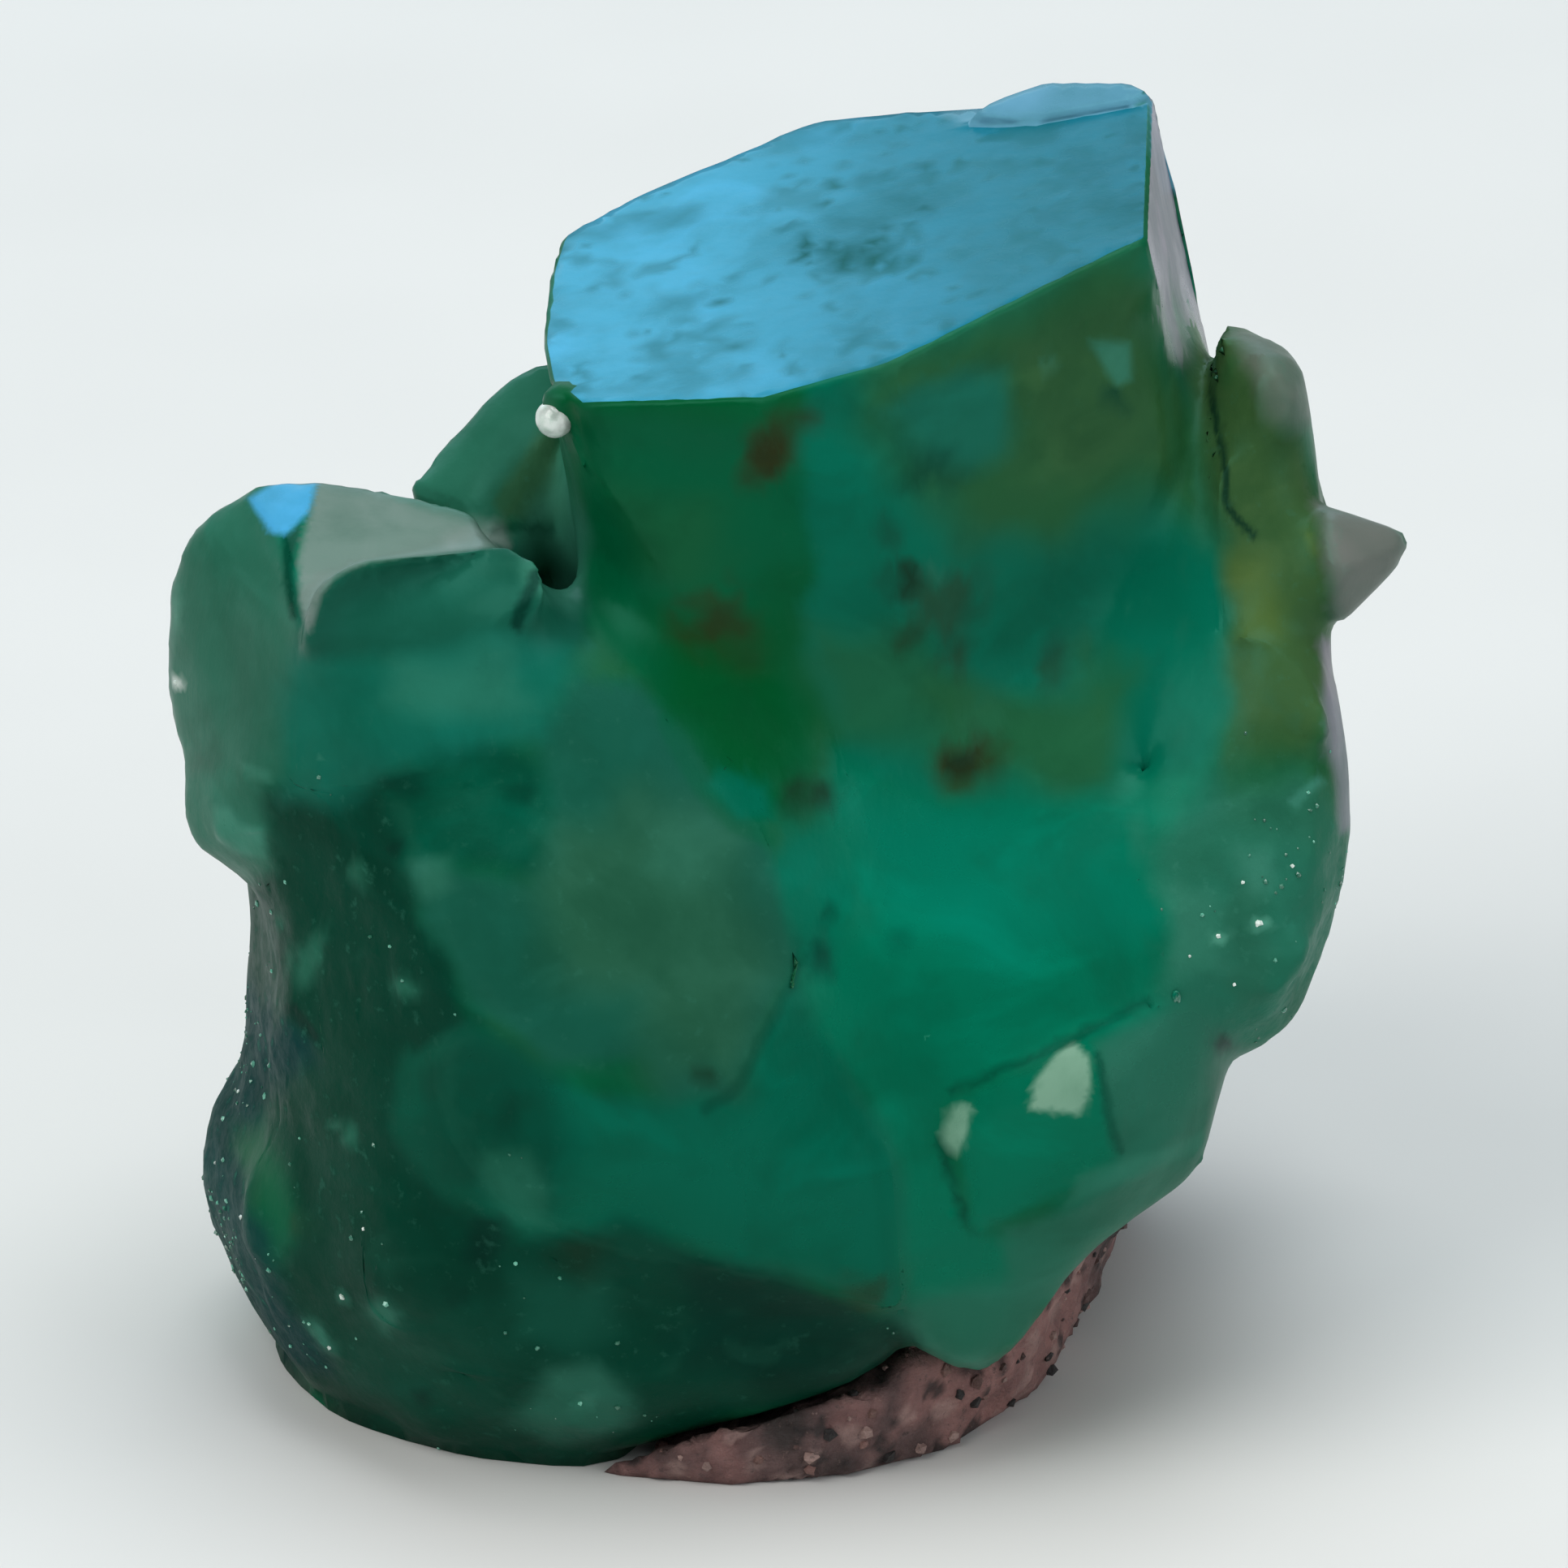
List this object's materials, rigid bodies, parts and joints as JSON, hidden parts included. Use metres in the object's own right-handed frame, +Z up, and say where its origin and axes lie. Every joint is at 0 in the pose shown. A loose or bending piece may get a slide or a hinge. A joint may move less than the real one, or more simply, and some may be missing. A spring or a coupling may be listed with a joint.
{
  "type": "emerald crystal",
  "caption": "Emerald crystal cluster on host rock: a flat-topped hexagonal prism with smaller grown-together crystals and a broken milky face, cut flat underneath to rest.",
  "frame": {"origin": "centre of the object's box, at its base, on the flat cut that it rests on", "axes": "+Z up, roughly along the main crystal; -Y towards the broken milky face that the picture shows; +X to the right of it"},
  "size_m": [0.0308, 0.0263, 0.0306],
  "materials": {
    "emerald": "cloudy green crystal, flat faces satin to glossy",
    "host_rock": "matt crumbly rock with dark specks"
  },
  "bodies": {
    "root": {"emerald_crystals": "emerald", "host_rock": "host_rock"}
  },
  "joints": []
}
